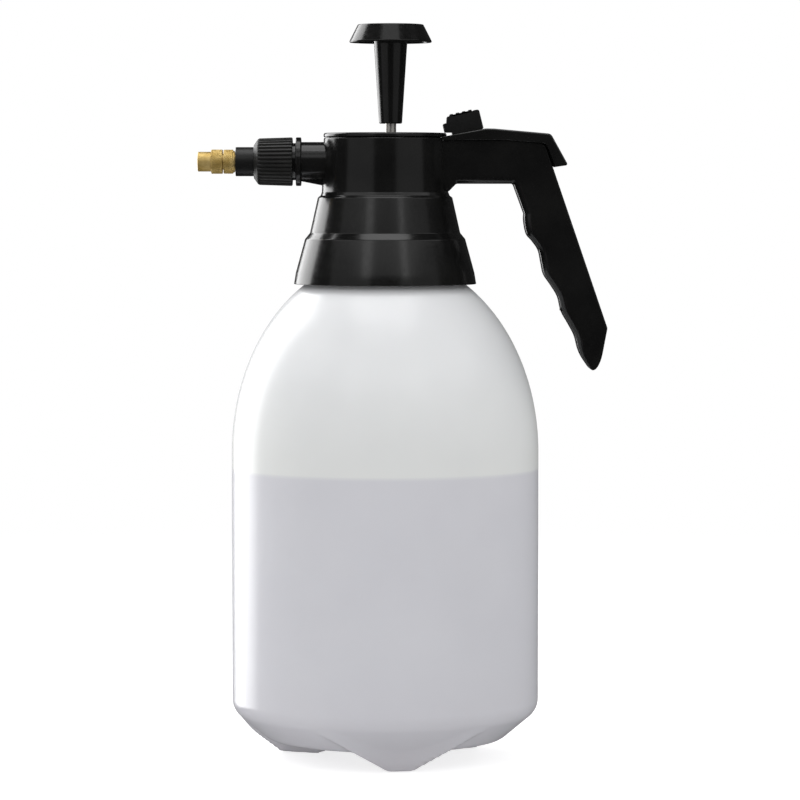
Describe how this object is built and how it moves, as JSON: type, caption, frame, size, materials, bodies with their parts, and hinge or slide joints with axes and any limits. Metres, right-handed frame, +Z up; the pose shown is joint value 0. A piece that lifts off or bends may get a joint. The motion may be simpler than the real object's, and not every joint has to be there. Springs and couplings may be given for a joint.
{
  "type": "pump sprayer",
  "caption": "Hand pressure sprayer: translucent bottle on three feet, black screw-on head with plunger pump, grip with thumb lever, and an adjustable brass nozzle.",
  "frame": {"origin": "middle of the object's footprint, on the surface that it stands on; the bottle's own axis is 7.2 mm towards -X of it", "axes": "+Z up, -X where the nozzle points, +X towards the grip, +Y the far side"},
  "size_m": [0.1708, 0.1279, 0.3056],
  "materials": {
    "natural_plastic": "translucent, satin, blow-moulded",
    "black_plastic": "glossy moulded",
    "white_plastic": "satin moulded",
    "clear_tube": "translucent extruded tube",
    "black_rubber": "matte",
    "steel": "ground",
    "brass": "turned and knurled, lightly dulled"
  },
  "bodies": {
    "bottle": {"bottle": "natural_plastic"},
    "neck_gasket": {"neck_gasket": "black_rubber"},
    "head": {"head_housing": "black_plastic", "pump_cap": "black_plastic", "pump_barrel": "white_plastic", "barrel_seal": "black_rubber", "barrel_foot": "white_plastic", "tube_fitting": "black_plastic", "dip_tube": "clear_tube", "dip_filter": "white_plastic", "inlet_hose": "clear_tube", "outlet_hose": "clear_tube", "outlet_elbow": "black_plastic", "valve_body": "white_plastic", "valve_bonnet": "white_plastic", "valve_seat": "black_rubber", "stem_o_ring": "black_rubber", "valve_spring": "steel", "trigger_pin": "steel"},
    "check_valve": {"check_valve": "black_rubber"},
    "piston": {"piston": "white_plastic", "piston_ring": "black_rubber"},
    "plunger": {"pump_rod": "steel", "pump_handle": "black_plastic", "rod_clip": "steel", "piston_nut": "steel"},
    "lever": {"trigger_lever": "black_plastic"},
    "lock": {"trigger_lock": "black_plastic"},
    "valve_stem": {"valve_stem": "steel"},
    "nozzle": {"nozzle_holder": "black_plastic", "nozzle_gasket": "black_rubber", "nozzle_body": "brass", "nozzle_core": "brass"},
    "union_nut": {"union_nut": "black_plastic"},
    "nozzle_o_ring": {"nozzle_o_ring": "black_rubber"},
    "nozzle_cap": {"nozzle_cap": "brass"}
  },
  "joints": [
    {"name": "neck_lift", "type": "slide", "parent": "bottle", "child": "neck_gasket", "axis": [0, 0, 1], "range_m": [0, 0.0061]},
    {"name": "head_turn", "type": "hinge", "parent": "neck_gasket", "child": "head", "pos_m": [-0.0072, 0, 0.22855], "axis": [0, 0, 1], "range_deg": [0, 540]},
    {"name": "check_valve_drop", "type": "slide", "parent": "head", "child": "check_valve", "axis": [0, 0, -1], "range_m": [0, 0.0012]},
    {"name": "pump_slide", "type": "slide", "parent": "head", "child": "piston", "axis": [0, 0, 1], "range_m": [-0.0033, 0.088]},
    {"name": "pump_spin", "type": "hinge", "parent": "piston", "child": "plunger", "pos_m": [-0.0049, 0, 0.12675], "axis": [0, 0, 1], "continuous": true},
    {"name": "trigger_press", "type": "hinge", "parent": "head", "child": "lever", "pos_m": [0.0398, 0, 0.25625], "axis": [0, 1, 0], "range_deg": [0, 6], "stiffness_Nm_per_rad": 0.8, "springref_deg": -5.73},
    {"name": "lock_slide", "type": "slide", "parent": "lever", "child": "lock", "axis": [-1, 0, 0], "range_m": [0, 0.003]},
    {"name": "valve_lift", "type": "slide", "parent": "head", "child": "valve_stem", "axis": [0, 0, 1], "range_m": [0, 0.0015], "deforming": ["valve_spring"]},
    {"name": "nozzle_out", "type": "slide", "parent": "head", "child": "nozzle", "axis": [-1, 0, 0], "range_m": [0, 0.0041]},
    {"name": "nut_turn", "type": "hinge", "parent": "nozzle", "child": "union_nut", "pos_m": [-0.0572, 0, 0.24875], "axis": [-1, 0, 0], "range_deg": [0, 720]},
    {"name": "cap_advance", "type": "slide", "parent": "nozzle", "child": "nozzle_o_ring", "axis": [-1, 0, 0], "range_m": [0, 0.0021]},
    {"name": "nozzle_turn", "type": "hinge", "parent": "nozzle_o_ring", "child": "nozzle_cap", "pos_m": [-0.0792, 0, 0.24875], "axis": [-1, 0, 0], "range_deg": [0, 720]}
  ],
  "couplings": [
    {"joint": "neck_lift", "follows": "head_turn", "m_per_rad": 0.00063662},
    {"joint": "valve_lift", "follows": "trigger_press", "m_per_rad": 0.014},
    {"joint": "nozzle_out", "follows": "nut_turn", "m_per_rad": 0.00031831},
    {"joint": "cap_advance", "follows": "nozzle_turn", "m_per_rad": 0.00015915}
  ]
}
